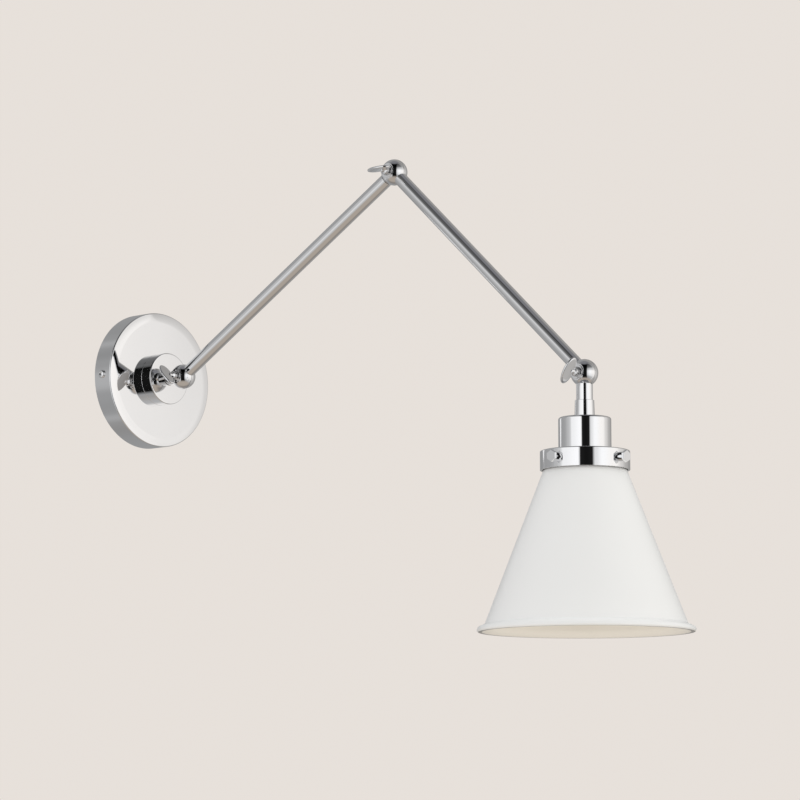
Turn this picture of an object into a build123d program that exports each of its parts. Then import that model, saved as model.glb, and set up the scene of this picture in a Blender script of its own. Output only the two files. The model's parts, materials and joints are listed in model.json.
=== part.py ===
"""Swing arm wall sconce: a round wall plate, two tube arms on three ball knuckles, a metal shade.

The frame is the wall's: the origin is the middle of the wall plate's back, +Y runs into the wall,
-Y out into the room, +Z is up. Every pivot lies in the plane X = 0.
"""

import os
from math import cos, radians, sin, sqrt

from build123d import *

os.makedirs("parts", exist_ok=True)

# Wall plate and the boss that the arm swivels in
plate_d = 127.0
plate_depth = 21.5
sheet = 1.0
plate_edge = 2.0
boss_d = 48.5
boss_depth = 12.0
boss_edge = 1.2
boss_relief = (14.0, 22.0, 8.0)
spigot_r = 11.0
spigot_back = 13.5
swivel_hole_r = 6.3
bush_r = 7.0
bush_bore_r = 5.55
bush_lip = 2.5
stop_bore_r = 8.6
stop_bore_end = 18.0
stop_lug = (1.9, 4.5, 3.4)
lug_centre = (0, -15.75, 7.6)
stop_pin_r = 1.25
stop_pin_out = 15.8
boss_nut_flats = 28.0
boss_nut_thick = 4.0
boss_washer_r = 17.0
journal_r = 5.5
swivel_thread_r = 5.0
swivel_washer_r = 9.5
swivel_nut_flats = 15.0
swivel_nut_thick = 3.4
pivot_out = 52.5

# Bracket behind the wall plate, its screws and its wiring
bracket_length = 123.0
bracket_width = 16.0
bracket_sheet = 2.0
bracket_disc_r = 17.0
bracket_hole_r = 10.0
slot_x = 39.7
slot_size = (14.3, 4.8)
tapped_x = 24.0
m4_r = 2.0
cover_screw_out = 10.0
cover_screw_tip = 57.0
cover_head = [(0, 0), (3.9, 0), (3.9, 1.1), (3.2, 1.9), (2.0, 2.3), (0, 2.4)]
recess_long = 4.4
recess_wide = 0.9
lead_r = 1.0
wiring_out = 11.5
wire_nut = [(0, 32), (5.6, 32), (5.2, 44), (3.6, 52), (0, 52)]

# Arms
arm1_length = 311.4
arm1_rise = 30.2
arm2_length = 294.0
arm2_drop = 43.1
tube_r = 6.0
tube_bore_r = 5.0

# Ball knuckles
ball_r = 11.6
seam = 0.3
end_gap = 0.3
clamp_flat = 9.3
chamber_r = 6.8
chamber_depth = 4.5
screw_boss_r = 3.7
spigot_reach = 26.0
link_start = 8.0
tapped_depth = 8.6
ring_seat = (7.3, 10.4, 0.6)
friction_ring_size = (7.4, 10.3, -0.05, 0.6)
washer_r = 6.0
washer_thick = 1.0
wire_end_gap = 13.0
wire_bore_r = 2.4
wire_bore_start = 5.0
wire_r = 1.9

# Thumb screws
shank_r = 2.5
thread_play = 0.05
shank_play = 0.25
hub_r = 4.35
hub_gap = 0.2
paddle_long = 24.0
paddle_wide = 13.0
paddle_thick = 2.2
paddle_edge = 0.7
paddle_out = 20.6
paddle_turns = {1: -40.0, 2: 88.0, 3: 33.0}

# Shade fitting, measured down from the last pivot
neck_r = 6.9
neck_end = 23.0
sleeve_top_r = 8.0
sleeve_end_r = 8.45
sleeve_end = 37.5
cup_r = 22.0
cup_edge = 2.0
cup_wall = 1.5
cup_collar_r = 19.6
cup_collar = 5.0
ring_top = 65.5
ring_end = 81.5
ring_r = 37.35
ring_wall = 2.0
ring_screw_level = 73.0
ring_screw_r = 2.5
ring_screw_flats = 9.4
ring_screw_head = 2.4
ring_screw_face = 44.5
lock_ring_r = 25.0
lock_ring_thick = 2.6
nipple_r = 5.0
nipple_bore_r = 3.6
nipple_span = (15.2, 49.6)
nipple_nut_flats = 14.0
nipple_nut_levels = ((39.0, 3.0), (46.6, 2.6))

# Lamp holder, measured down from the last pivot
holder_r = 16.8
cap_top = 43.1
cap_wall = 1.4
body_top = 54.8
body_end = 96.0
shell_r = 13.25
shell_out_r = 13.85
shell_top = 68.0
shell_end = 94.0
shell_lip = 0.6
shell_lip_r = 12.0
shell_seat = 66.0
contact = [(1.6, 56.5, 66.0), (5.0, 66.0, 66.6), (2.6, 66.6, 67.7)]
holder_lead = (1.7, 1.2, 18.0, 54.2)

# Shade
collar_r = 34.2
collar_gap = 0.6
throat_r = 26.5
cone_top_r = 34.9
cone_end = 208.4
cone_end_r = 83.6
rim_r = 90.3
rim_in_r = 86.0
rim_level = 215.2
shade_wall = 1.0

ball_clear_r = ball_r + end_gap
boss_face = plate_depth + boss_depth
CLAMP, TAPPED = -1, 1

OUT = Vector(0, -1, 0)
WALLWARD = Vector(0, 1, 0)
DOWN = Vector(0, 0, -1)
SIDE = Vector(1, 0, 0)
arm1_way = Vector(0, -cos(radians(arm1_rise)), sin(radians(arm1_rise)))
arm2_way = Vector(0, -cos(radians(arm2_drop)), -sin(radians(arm2_drop)))
wall = Vector(0, 0, 0)
screw_line = OUT * cover_screw_out
pivot1 = OUT * pivot_out
pivot2 = pivot1 + arm1_way * arm1_length
pivot3 = pivot2 + arm2_way * arm2_length
screw_centre = pivot3 + DOWN * ring_screw_level


def section_plane(centre, along):
    """Plane for half a turned section: local x is the radius, local y the distance along."""
    across = Vector(0, 0, 1) if abs(along.X) > 0.5 else along.cross(SIDE)
    return Plane(origin=centre, x_dir=across, z_dir=across.cross(along))


def turn(centre, along, outline, mode=Mode.ADD):
    """Turn an outline of (radius, distance) points about the line through centre."""
    with BuildSketch(section_plane(centre, along)) as half:
        with BuildLine():
            Polyline(*outline, close=True)
        make_face()
    revolve(half.sketch, axis=Axis(centre, along), mode=mode)


def rod(centre, along, radius, start, end, mode=Mode.ADD):
    """A round bar between two distances from centre."""
    turn(centre, along, [(0, start), (radius, start), (radius, end), (0, end)], mode)


def pipe(centre, along, inner, outer, start, end, mode=Mode.ADD):
    """A ring or tube between two distances from centre."""
    turn(centre, along, [(inner, start), (outer, start), (outer, end), (inner, end)], mode)


def ball(centre, radius, mode):
    """A whole ball."""
    with Locations(centre):
        Sphere(radius, mode=mode)


def hexagon_bar(centre, along, flats, start, end):
    """A hexagonal bar, its size given across the flats."""
    plane = section_plane(centre, along)
    with BuildSketch(Plane(origin=centre + along * start, x_dir=plane.x_dir, z_dir=along)) as face:
        RegularPolygon(flats / 2, 6, major_radius=False)
    extrude(face.sketch, amount=end - start)


def half_ball(centre, along, side, neck, neck_start=7.0, neck_reach=14.0):
    """Half a knuckle ball with the half neck that ties it to its own link.

    The half lies on the side of the seam given by side, with a flat for the washer on the clamp side.
    Inside are a round wiring chamber about the screw's boss, and the wire's way in.
    """
    outward = SIDE * side
    start = seam / 2
    start_r = sqrt(ball_r**2 - start**2)
    with BuildSketch(section_plane(centre, outward)) as half:
        Circle(ball_r)
        with Locations((start_r, start + ball_r)):
            Rectangle(2 * start_r, 2 * ball_r, mode=Mode.INTERSECT)
        if side == CLAMP:
            with Locations((0, clamp_flat + ball_r)):
                Rectangle(4 * ball_r, 2 * ball_r, mode=Mode.SUBTRACT)
    revolve(half.sketch, axis=Axis(centre, outward))
    with BuildSketch(Plane(origin=centre + along * neck_start, x_dir=outward, z_dir=along)) as web:
        Circle(neck)
        with Locations((start + neck, 0)):
            Rectangle(2 * neck, 2 * neck, mode=Mode.INTERSECT)
    extrude(web.sketch, amount=neck_reach - neck_start)
    pipe(centre, outward, screw_boss_r, chamber_r, 0, chamber_depth, Mode.SUBTRACT)


def screw_way(centre, side):
    """The thumb screw's hole: clear through the clamp half, tapped and blind in the other."""
    outward = SIDE * side
    if side == CLAMP:
        rod(centre, outward, shank_r + shank_play, 0, ball_r, Mode.SUBTRACT)
    else:
        rod(centre, outward, shank_r + thread_play, 0, tapped_depth, Mode.SUBTRACT)
        inner, outer, depth = ring_seat
        pipe(centre, outward, inner, outer, 0, depth, Mode.SUBTRACT)


# ---------------------------------------------------------------- wall side, which stays still

with BuildPart() as backplate_cover:
    rod(wall, OUT, plate_d / 2, 0, plate_depth)
    front = backplate_cover.edges().filter_by(GeomType.CIRCLE).sort_by(Axis.Y)[0]
    fillet(front, plate_edge)
    rod(wall, OUT, plate_d / 2 - sheet, 0, plate_depth - sheet, Mode.SUBTRACT)
    rod(wall, OUT, spigot_r, 0, plate_depth, Mode.SUBTRACT)
    rod(screw_line, SIDE, m4_r + 0.2, -plate_d / 2, plate_d / 2, Mode.SUBTRACT)

with BuildPart() as wall_bracket:
    with BuildSketch(Plane.XZ) as bar:
        Rectangle(bracket_length, bracket_width)
        Circle(bracket_disc_r)
        Circle(bracket_hole_r, mode=Mode.SUBTRACT)
        with Locations((-slot_x, 0), (slot_x, 0)):
            SlotOverall(*slot_size, mode=Mode.SUBTRACT)
        with Locations((tapped_x, 0), (-tapped_x, 0)):
            Circle(m4_r, mode=Mode.SUBTRACT)
    extrude(bar.sketch, amount=bracket_sheet)
    tab_x = (bracket_length - bracket_sheet) / 2
    with Locations((-tab_x, -bracket_width / 2, 0), (tab_x, -bracket_width / 2, 0)):
        Box(bracket_sheet, bracket_width, bracket_width)
    rod(screw_line, SIDE, m4_r, -bracket_length / 2, bracket_length / 2, Mode.SUBTRACT)

with BuildPart() as cover_screws:
    for way in (SIDE, -SIDE):
        rod(screw_line, way, m4_r, cover_screw_tip, plate_d / 2 + 1.0)
        turn(screw_line, way, [(radius, plate_d / 2 + rise) for radius, rise in cover_head])
    crown = plate_d / 2 + cover_head[-1][1]
    for x in (-crown, crown):
        with Locations((x, -cover_screw_out, 0)):
            Box(2.0, recess_long, recess_wide, mode=Mode.SUBTRACT)
            Box(2.0, recess_wide, recess_long, mode=Mode.SUBTRACT)

with BuildPart() as swivel_boss:
    rod(wall, OUT, boss_d / 2, plate_depth, boss_face)
    front = swivel_boss.edges().filter_by(GeomType.CIRCLE).sort_by(Axis.Y)[0]
    fillet(front, boss_edge)
    rod(wall, OUT, spigot_r, spigot_back, plate_depth)
    inner, outer, depth = boss_relief
    pipe(wall, OUT, inner, outer, plate_depth, plate_depth + depth, Mode.SUBTRACT)
    rod(wall, OUT, swivel_hole_r, spigot_back, boss_face, Mode.SUBTRACT)
    rod(wall, OUT, bush_r, spigot_back, boss_face - bush_lip, Mode.SUBTRACT)
    rod(wall, OUT, stop_bore_r, spigot_back, stop_bore_end, Mode.SUBTRACT)
    with Locations(lug_centre):
        Box(*stop_lug)

with BuildPart() as swivel_bush:
    pipe(wall, OUT, bush_bore_r, bush_r, stop_bore_end, boss_face - bush_lip)

nut_end = plate_depth - sheet - 1.0
with BuildPart() as boss_washer:
    pipe(wall, OUT, spigot_r, boss_washer_r, nut_end, plate_depth - sheet)

with BuildPart() as boss_nut:
    hexagon_bar(wall, OUT, boss_nut_flats, nut_end - boss_nut_thick, nut_end)
    rod(wall, OUT, spigot_r, 0, nut_end, Mode.SUBTRACT)

ground_spot = Vector(tapped_x, 0, 0)
with BuildPart() as ground_screw:
    rod(ground_spot, OUT, m4_r, 0.2, 5.0)
    hexagon_bar(ground_spot, OUT, 7.0, bracket_sheet, 5.2)
    rod(ground_spot, OUT, 4.6, bracket_sheet, 2.8)

nut_spots = {"live": (-13.0, 1), "neutral": (13.0, 1), "ground": (15.0, -1)}
with BuildPart() as wire_nuts:
    for x, way in nut_spots.values():
        turn(Vector(x, -wiring_out, 0), Vector(0, 0, way), wire_nut)


def lead(points, bends):
    """A round wire along straight runs joined by arcs."""
    with BuildLine() as route:
        FilletPolyline(*points, radius=bends)
    with BuildSketch(Plane(origin=route.line @ 0, z_dir=route.line % 0)) as face:
        Circle(lead_r)
    sweep(face.sketch, path=route.line)


with BuildPart() as canopy_leads:
    for name, inside in (("live", -1.2), ("neutral", 1.2)):
        x, _ = nut_spots[name]
        lead([(inside, -8.2, 0), (inside, -4.2, 0), (inside, -4.2, 12), (x, -wiring_out, 22),
              (x, -wiring_out, 32)], [2.5, 4.0, 4.0])

with BuildPart() as ground_lead:
    x, _ = nut_spots["ground"]
    lead([(tapped_x, -5.3, 0), (tapped_x, -wiring_out, 0), (x, -wiring_out, -20),
          (x, -wiring_out, -32)], [4.0, 5.0])

# ---------------------------------------------------------------- swivel, turning in the boss

journal_start = pivot_out - boss_face + 2.2
journal_end = pivot_out - spigot_back + 0.3
nut_start = journal_end + 1.0
thread_end = nut_start + swivel_nut_thick + 0.3
with BuildPart() as swivel_stem:
    rod(pivot1, WALLWARD, tube_r, link_start, journal_start)
    ball(pivot1, ball_clear_r, Mode.SUBTRACT)
    rod(pivot1, WALLWARD, journal_r, journal_start, journal_end)
    rod(pivot1, WALLWARD, swivel_thread_r, journal_end, thread_end)
    half_ball(pivot1, WALLWARD, TAPPED, tube_r)
    screw_way(pivot1, TAPPED)
    rod(pivot1, WALLWARD, wire_bore_r, wire_bore_start, pivot_out, Mode.SUBTRACT)
    rod(OUT * stop_pin_out, DOWN, stop_pin_r, 0, 8.0, Mode.SUBTRACT)

with BuildPart() as swivel_stop_pin:
    rod(OUT * stop_pin_out, DOWN, stop_pin_r, 2.9, 8.1)

with BuildPart() as swivel_washer:
    pipe(pivot1, WALLWARD, swivel_thread_r, swivel_washer_r, journal_end, nut_start)

with BuildPart() as swivel_nut:
    hexagon_bar(pivot1, WALLWARD, swivel_nut_flats, nut_start, nut_start + swivel_nut_thick)
    rod(pivot1, WALLWARD, swivel_thread_r, journal_end, thread_end, Mode.SUBTRACT)

with BuildPart() as swivel_wire:
    rod(pivot1, WALLWARD, wire_r, wire_end_gap, 34.0)

# ---------------------------------------------------------------- arms

arm_nodes = {}
for number, start, finish, way, length in (
    (1, pivot1, pivot2, arm1_way, arm1_length),
    (2, pivot2, pivot3, arm2_way, arm2_length),
):
    with BuildPart() as tube:
        pipe(start, way, tube_bore_r, tube_r, link_start, length - link_start)
        ball(start, ball_clear_r, Mode.SUBTRACT)
        ball(finish, ball_clear_r, Mode.SUBTRACT)
    with BuildPart() as inner_knuckle:
        rod(start, way, tube_bore_r, 12.0, spigot_reach)
        half_ball(start, way, CLAMP, tube_bore_r)
        screw_way(start, CLAMP)
        rod(start, way, wire_bore_r, wire_bore_start, spigot_reach, Mode.SUBTRACT)
    with BuildPart() as outer_knuckle:
        rod(finish, -way, tube_bore_r, 12.0, spigot_reach)
        half_ball(finish, -way, TAPPED, tube_bore_r)
        screw_way(finish, TAPPED)
        rod(finish, -way, wire_bore_r, wire_bore_start, spigot_reach, Mode.SUBTRACT)
    with BuildPart() as wire:
        rod(start, way, wire_r, wire_end_gap, length - wire_end_gap)
    arm_nodes[f"arm{number}_tube"] = tube
    arm_nodes[f"arm{number}_inner_knuckle"] = inner_knuckle
    arm_nodes[f"arm{number}_outer_knuckle"] = outer_knuckle
    arm_nodes[f"arm{number}_wire"] = wire

# ---------------------------------------------------------------- knuckle fastenings

fastening_nodes = {}
for number, centre in ((1, pivot1), (2, pivot2), (3, pivot3)):
    with BuildPart() as washer:
        pipe(centre, -SIDE, shank_r + shank_play, washer_r, clamp_flat, clamp_flat + washer_thick)
    with BuildPart() as friction_ring:
        pipe(centre, SIDE, *friction_ring_size)
    lean = radians(paddle_turns[number])
    paddle_way = Vector(0, -sin(lean), cos(lean))
    paddle_plane = Plane(
        origin=centre - SIDE * paddle_out, x_dir=paddle_way, z_dir=paddle_way.cross(-SIDE)
    )
    with BuildPart() as thumb_screw:
        with BuildSketch(paddle_plane) as oval:
            Ellipse(paddle_long / 2, paddle_wide / 2)
        extrude(oval.sketch, amount=paddle_thick / 2, both=True)
        fillet(thumb_screw.edges(), paddle_edge)
        hub = clamp_flat + washer_thick + hub_gap
        turn(centre, -SIDE, [(0, hub), (hub_r, hub), (hub_r, hub + 1.3), (hub_r - 0.7, hub + 1.6),
                             (hub_r, hub + 1.9), (hub_r, hub + 3.4), (2.4, hub + 6.6), (0, hub + 6.6)])
        rod(centre, -SIDE, shank_r, -8.0, hub)
    fastening_nodes[f"knuckle{number}_washer"] = washer
    fastening_nodes[f"knuckle{number}_friction_ring"] = friction_ring
    fastening_nodes[f"thumb_screw{number}"] = thumb_screw

# ---------------------------------------------------------------- shade fitting

with BuildPart() as shade_knuckle:
    rod(pivot3, DOWN, neck_r, link_start, neck_end)
    ball(pivot3, ball_clear_r, Mode.SUBTRACT)
    half_ball(pivot3, DOWN, CLAMP, neck_r, neck_reach=12.5)
    screw_way(pivot3, CLAMP)
    rod(pivot3, DOWN, wire_bore_r, wire_bore_start, nipple_span[0], Mode.SUBTRACT)
    rod(pivot3, DOWN, nipple_r, nipple_span[0] - 0.2, neck_end, Mode.SUBTRACT)

with BuildPart() as nipple:
    pipe(pivot3, DOWN, nipple_bore_r, nipple_r, *nipple_span)

with BuildPart() as stem_sleeve:
    bore_r = nipple_r + 0.1
    turn(pivot3, DOWN, [(bore_r, neck_end), (sleeve_top_r, neck_end), (sleeve_end_r, sleeve_end),
                        (bore_r, sleeve_end)])

with BuildPart() as socket_cup:
    rod(pivot3, DOWN, cup_r, sleeve_end, ring_top)
    top = socket_cup.edges().filter_by(GeomType.CIRCLE).sort_by(Axis.Z)[-1]
    fillet(top, cup_edge)
    collar_end = ring_top + cup_collar
    rod(pivot3, DOWN, cup_collar_r, ring_top, collar_end)
    rod(pivot3, DOWN, cup_collar_r - cup_wall, sleeve_end + cup_wall, collar_end, Mode.SUBTRACT)
    rod(pivot3, DOWN, nipple_r, sleeve_end, ring_top, Mode.SUBTRACT)

with BuildPart() as fitter_ring:
    under = ring_top + ring_wall
    turn(pivot3, DOWN, [(cup_collar_r, ring_top), (ring_r - 1.0, ring_top), (ring_r, ring_top + 1.0),
                        (ring_r, ring_end), (ring_r - ring_wall, ring_end),
                        (ring_r - ring_wall, under), (cup_collar_r, under)])
    for way in (SIDE, OUT):
        rod(screw_centre, way, ring_screw_r, -ring_r, ring_r, Mode.SUBTRACT)

with BuildPart() as cup_lock_ring:
    pipe(pivot3, DOWN, cup_collar_r, lock_ring_r, under, under + lock_ring_thick)

with BuildPart() as fitter_screws:
    for way in (SIDE, -SIDE, OUT, WALLWARD):
        rod(screw_centre, way, ring_screw_r, collar_r, ring_screw_face - 1.0)
        hexagon_bar(screw_centre, way, ring_screw_flats, ring_screw_face - ring_screw_head, ring_screw_face)

collar_top = ring_top + cup_collar + 0.4
shoulder = ring_end + collar_gap
wall_run = shade_wall * sqrt(1 + ((cone_end_r - cone_top_r) / (cone_end - shoulder)) ** 2)
with BuildPart() as shade:
    with BuildSketch(section_plane(pivot3, DOWN)) as skin:
        with BuildLine():
            Polyline(
                (throat_r, collar_top), (collar_r, collar_top), (collar_r, ring_end - collar_gap),
                (cone_top_r, shoulder), (cone_end_r, cone_end),
            )
            ThreePointArc((cone_end_r, cone_end), (rim_r - 2.2, rim_level - 5.0), (rim_r, rim_level - 1.4))
            Polyline(
                (rim_r, rim_level - 1.4), (rim_r - 0.9, rim_level), (rim_in_r, rim_level),
                (cone_end_r - wall_run, cone_end + 1.0), (cone_top_r - wall_run, shoulder + 0.4),
                (collar_r - shade_wall, ring_end), (collar_r - shade_wall, collar_top + shade_wall),
                (throat_r, collar_top + shade_wall), (throat_r, collar_top),
            )
        make_face()
    revolve(skin.sketch, axis=Axis(pivot3, DOWN))

# ---------------------------------------------------------------- lamp holder inside the cup

with BuildPart() as nipple_nuts:
    for start, thick in nipple_nut_levels:
        hexagon_bar(pivot3, DOWN, nipple_nut_flats, start, start + thick)
    rod(pivot3, DOWN, nipple_r, *nipple_span, Mode.SUBTRACT)

with BuildPart() as holder_cap:
    cap_low, inner_r = cap_top + 6.0, holder_r - cap_wall
    turn(pivot3, DOWN, [(nipple_r, cap_top), (10.0, cap_top), (holder_r, cap_low), (holder_r, body_top),
                        (inner_r, body_top), (inner_r, cap_low + 1.1), (9.4, cap_top + 2.1),
                        (nipple_r, cap_top + 2.1)])

with BuildPart() as holder_body:
    rod(pivot3, DOWN, holder_r, body_top, body_end)
    lower = holder_body.edges().filter_by(GeomType.CIRCLE).sort_by(Axis.Z)[0]
    fillet(lower, 1.0)
    rod(pivot3, DOWN, shell_out_r, shell_seat, body_end, Mode.SUBTRACT)
    rod(pivot3, DOWN, contact[0][0], body_top, shell_seat, Mode.SUBTRACT)

with BuildPart() as screw_shell:
    pipe(pivot3, DOWN, shell_r, shell_out_r, shell_top, shell_end)
    pipe(pivot3, DOWN, shell_lip_r, shell_out_r, shell_top - shell_lip, shell_top)

with BuildPart() as centre_contact:
    for radius, start, end in contact:
        rod(pivot3, DOWN, radius, start, end)

with BuildPart() as holder_leads:
    x, radius, start, end = holder_lead
    for lead_x in (-x, x):
        rod(pivot3 + SIDE * lead_x, DOWN, radius, start, end)

nodes = {
    "backplate_cover": backplate_cover,
    "wall_bracket": wall_bracket,
    "cover_screws": cover_screws,
    "swivel_boss": swivel_boss,
    "swivel_bush": swivel_bush,
    "boss_washer": boss_washer,
    "boss_nut": boss_nut,
    "ground_screw": ground_screw,
    "wire_nuts": wire_nuts,
    "canopy_leads": canopy_leads,
    "ground_lead": ground_lead,
    "swivel_stem": swivel_stem,
    "swivel_stop_pin": swivel_stop_pin,
    "swivel_washer": swivel_washer,
    "swivel_nut": swivel_nut,
    "swivel_wire": swivel_wire,
    **arm_nodes,
    **fastening_nodes,
    "shade_knuckle": shade_knuckle,
    "nipple": nipple,
    "stem_sleeve": stem_sleeve,
    "socket_cup": socket_cup,
    "fitter_ring": fitter_ring,
    "cup_lock_ring": cup_lock_ring,
    "fitter_screws": fitter_screws,
    "shade": shade,
    "nipple_nuts": nipple_nuts,
    "holder_cap": holder_cap,
    "holder_body": holder_body,
    "screw_shell": screw_shell,
    "centre_contact": centre_contact,
    "holder_leads": holder_leads,
}
for name, piece in nodes.items():
    piece.part.label = name
    export_step(piece.part, f"parts/{name}.step")
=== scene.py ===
"""Looks of the swing arm wall sconce, laid out as an add-on: each group of pieces has its operator.

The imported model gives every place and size. Lengths are metres, +Z is up, +Y runs into the wall.
"""

import json
import math

import bmesh
import bpy
import numpy as np
from bpy.props import FloatProperty, FloatVectorProperty, IntProperty, PointerProperty
from mathutils import Matrix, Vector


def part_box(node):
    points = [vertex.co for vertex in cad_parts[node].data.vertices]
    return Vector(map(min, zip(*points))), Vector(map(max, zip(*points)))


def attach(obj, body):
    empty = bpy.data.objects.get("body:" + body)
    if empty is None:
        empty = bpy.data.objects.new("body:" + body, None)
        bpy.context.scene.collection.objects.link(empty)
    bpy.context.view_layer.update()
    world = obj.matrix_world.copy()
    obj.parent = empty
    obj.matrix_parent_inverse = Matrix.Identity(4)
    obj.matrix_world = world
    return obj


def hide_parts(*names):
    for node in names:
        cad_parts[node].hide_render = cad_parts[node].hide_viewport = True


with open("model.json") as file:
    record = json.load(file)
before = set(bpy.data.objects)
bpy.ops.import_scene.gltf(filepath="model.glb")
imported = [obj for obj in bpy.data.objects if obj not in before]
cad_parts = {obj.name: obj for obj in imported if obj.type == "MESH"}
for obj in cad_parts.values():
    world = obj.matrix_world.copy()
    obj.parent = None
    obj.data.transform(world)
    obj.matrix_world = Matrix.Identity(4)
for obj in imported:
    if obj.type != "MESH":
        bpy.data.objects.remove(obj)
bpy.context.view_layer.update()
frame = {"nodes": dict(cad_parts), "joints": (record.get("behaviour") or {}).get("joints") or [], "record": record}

bl_info = {
    "name": "Swing Arm Wall Sconce",
    "version": (1, 0, 0),
    "blender": (4, 5, 0),
    "location": "View3D > Sidebar > Sconce",
    "description": "Builds the finished pieces of a two-arm wall sconce around its measured frame",
    "category": "Object",
}

MM = 0.001
SIDE_WAY = np.array([1.0, 0.0, 0.0])
OUT = np.array([0.0, -1.0, 0.0])
DOWN = np.array([0.0, 0.0, -1.0])
JOINTS = {joint["name"]: joint for joint in frame["joints"]}
KNUCKLES = ("wall_knuckle", "elbow_knuckle", "shade_knuckle_turn")
PIVOTS = [np.array(JOINTS[name]["pos_m"]) for name in KNUCKLES]
WALL = np.zeros(3)

# How far from a corner the points stand that keep the shading of its flat runs flat
CREASE = 0.02 * MM

# Sizes that the frame's boxes don't give: wall plate and its rim screws
PLATE_SHEET = 1.0 * MM
PLATE_HOLE_SHARE = 0.785
PLATE_INNER_SHARE = 0.6
RIM_SCREW_R = 2.0 * MM
RIM_SCREW_TIP = 57 * MM

# Swivel boss, from its spigot in to its bores
SPIGOT_R = 11.0 * MM
BOSS_HOLE_R = 6.3 * MM
BUSH_R = 7.0 * MM
BUSH_LIP = 2.5 * MM
STOP_BORE_R = 8.6 * MM
STOP_BORE_END = 18 * MM
BOSS_FOOT = 0.3 * MM

# Arm tubes
TUBE_WALL = 1.0 * MM
TUBE_SEAT_R = 11.9 * MM
TUBE_LIP = 0.2 * MM

# Thumb screws and the washers under them: leans in degrees, the paddle's half lengths in metres
PADDLE_LEANS = (40.0, -88.0, -33.0)
PADDLE_LONG = 12.0 * MM
PADDLE_WIDE = 6.5 * MM
PADDLE_THICK = 2.2 * MM
PADDLE_CURL_SHARE = 0.42
HUB_GAP = 0.2 * MM
HUB_EDGE = 0.12 * MM
HUB_MM = [
    (0, 0), (4.35, 0), (4.35, 0.9), (3.0, 0.9), (3.0, 1.45), (4.2, 1.45), (4.2, 2.3), (2.9, 2.3),
    (2.9, 2.85), (3.9, 2.85), (3.7, 3.7), (2.3, 4.6), (2.0, 7.0), (0, 7.4),
]
THREAD_R_MM = 2.5
THREAD_DEPTH_MM = 0.22
THREAD_PITCH_MM = 0.8
THREAD_END_MM = -8.0
WASHER_BORE_R = 2.75 * MM
WASHER_R = 6.0 * MM
WASHER_THICK = 1.0 * MM
WASHER_BODIES = ("arm1", "arm2", "shade_head")

# Stem sleeve, cup, ring and ring screws
STEM_BORE_R = 5.1 * MM
SLEEVE_TAPER = 0.45 * MM
CUP_WALL = 1.5 * MM
COLLAR_R = 19.6 * MM
RING_WALL = 2 * MM
RING_EDGE = 0.9 * MM
RING_LIP = 0.35 * MM
HEX_FLATS = 9.0 * MM
HEX_HEAD = 2.4 * MM
HEX_CORNER = 0.5 * MM
HEX_FACE_EDGE = 0.45 * MM
RING_SCREW_TIP = 34.4 * MM
RING_SCREW_TIP_R = 1.8 * MM
RING_SCREW_POINT = 1.2 * MM
RING_SCREW_R = 2.5 * MM
SHOULDER_R = 3.9 * MM
SHOULDER_SINK = 0.5 * MM
HEAD_OVERLAP = 0.3 * MM

# Shade: collar in the ring, straight cone, rolled rim
SHADE_WALL = 1.0 * MM
THROAT_R = 26.5 * MM
SHADE_COLLAR_R = 34.2 * MM
CONE_TOP_R = 34.9 * MM
CONE_GAP = 0.6 * MM
RIM_WIDE = 6.7 * MM
RIM_HIGH = 6.8 * MM
RIM_LIP = 4.3 * MM

# Studio: width of the sensor in millimetres, half the floor's side in metres
SENSOR_WIDTH = 36.0
FLOOR_HALF = 12.0

# Brightness of the panels by angle in degrees, 0 at the camera, negative to its left
PANELS = [
    (-180, 0.32), (-150, 0.30), (-141, 0.32), (-134, 0.40), (-127, 0.34), (-108, 0.36), (-92, 0.44),
    (-80, 0.50), (-71, 0.60), (-60, 0.94), (-21, 1.06), (-17.5, 0.70), (-15.5, 0.012), (0, 0.008),
    (15.5, 0.012), (18, 0.40), (22, 0.80), (42, 1.04), (74, 1.00), (95, 0.86), (104, 0.70),
    (126, 0.46), (150, 0.33), (180, 0.32),
]
WARM_FROM = 70
PANEL_WARM = (1.0, 0.975, 0.95)
PANEL_COOL = (0.985, 0.99, 1.0)

# Share of a panel's brightness by height, -1 straight down to 1 straight up, on either side
LEFT_FADE = [
    (-1.0, 0.30), (-0.56, 0.58), (-0.3, 0.84), (0.0, 1.0), (0.16, 1.0), (0.36, 0.82), (0.52, 0.36),
    (0.70, 0.10), (1.0, 0.10),
]
RIGHT_FADE = [
    (-1.0, 0.24), (-0.60, 0.46), (-0.3, 0.86), (0.0, 1.0), (0.16, 1.0), (0.42, 0.60), (0.68, 0.16),
    (0.86, 0.10), (1.0, 0.10),
]

# Colours above and below the panels, and those of the fill that matt surfaces receive
TOP = (0.20, 0.20, 0.215, 1)
GROUND_BEHIND = (0.24, 0.22, 0.205, 1)
GROUND_NEAR = (0.42, 0.37, 0.32, 1)
FILL_LEFT = (0.98, 0.985, 1.0, 1)
FILL_RIGHT = (1.33, 1.33, 1.31, 1)
FILL_BELOW = (1.06, 1.00, 0.92, 1)


def box_of(node):
    """Lowest and highest corner of a CAD node, as arrays."""
    low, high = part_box(node)
    return np.array(low), np.array(high)


def reach(node, centre, along):
    """Nearest and furthest distance of a node's box from centre, measured along a row axis."""
    low, high = box_of(node)
    ends = sorted(((low - centre) @ along, (high - centre) @ along))
    return ends[0], ends[1]


def half_width(node):
    """Half of a node's width along X."""
    low, high = box_of(node)
    return (high[0] - low[0]) / 2


# ---------------------------------------------------------------- surfaces


def unit(vector):
    """The vector at length one."""
    return np.asarray(vector, float) / np.linalg.norm(vector)


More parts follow.
